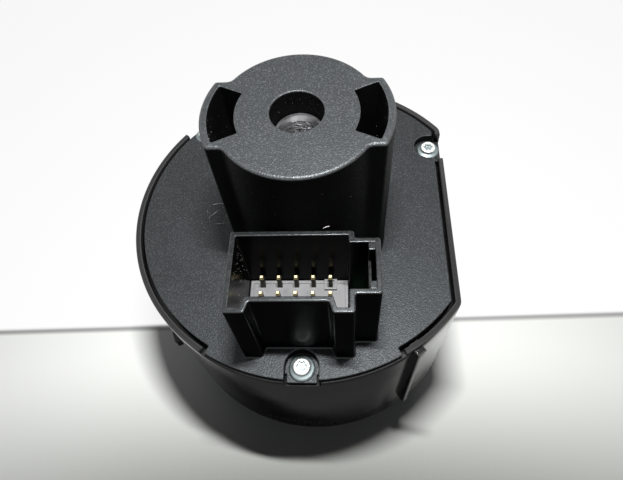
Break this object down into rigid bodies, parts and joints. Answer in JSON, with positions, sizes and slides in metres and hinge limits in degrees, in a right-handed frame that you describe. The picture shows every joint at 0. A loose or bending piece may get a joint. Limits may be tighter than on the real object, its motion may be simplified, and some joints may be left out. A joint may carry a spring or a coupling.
{
  "type": "rotary headlight switch",
  "caption": "Round rotary headlight switch with a turning and pulling knob, a flat on one side, a tall rear post with a threaded insert and a stepped plug socket.",
  "frame": {"origin": "on the knob's turning axis at the flat face of the knob", "axes": "+Z runs to the rear of the switch, along the turning axis; +X points to the side with the flat"},
  "size_m": [0.0542, 0.0622, 0.0726],
  "materials": {
    "housing_plastic": "polished black moulding",
    "cover_plastic": "finely textured black moulding",
    "steel": "plated",
    "screw_steel": "bright zinc plated",
    "spring_steel": "rolled",
    "header_plastic": "dark grey moulding",
    "gold": "gold flashed",
    "board": "green laminate",
    "lamp": "clear body",
    "component": "moulded body",
    "bearing_plastic": "natural white moulding",
    "clear_plastic": "clear moulding",
    "dial": "smooth black sheet with pale marks",
    "knob_plastic": "fine satin black moulding",
    "brass": "stamped strip",
    "lens": "milky white"
  },
  "bodies": {
    "housing": {"housing_shell": "housing_plastic", "rear_cover": "cover_plastic", "threaded_insert": "steel", "cover_screws": "screw_steel", "pin_header": "header_plastic", "contact_pins": "gold", "circuit_board": "board", "board_lamps": "lamp", "board_components": "component", "fog_switch": "component", "bearing_bush": "bearing_plastic", "detent_leaf": "spring_steel", "leaf_rivet": "steel", "light_guide": "clear_plastic", "dial_face": "dial", "front_bezel": "housing_plastic"},
    "rotor": {"rotor": "bearing_plastic", "rotor_retainer": "spring_steel", "pull_wire": "spring_steel", "wiper_contacts": "brass"},
    "knob": {"knob_cap": "knob_plastic", "knob_core": "bearing_plastic", "shaft_washer": "steel", "pointer_lens": "lens"}
  },
  "joints": [
    {"name": "knob_turn", "type": "hinge", "parent": "housing", "child": "rotor", "pos_m": [0, 0, 0.0264], "axis": [0, 0, 1], "range_deg": [-30, 60], "deforming": ["detent_leaf", "wiper_contacts"]},
    {"name": "knob_pull", "type": "slide", "parent": "rotor", "child": "knob", "axis": [0, 0, -1], "range_m": [0, 0.006], "deforming": ["pull_wire"]}
  ]
}
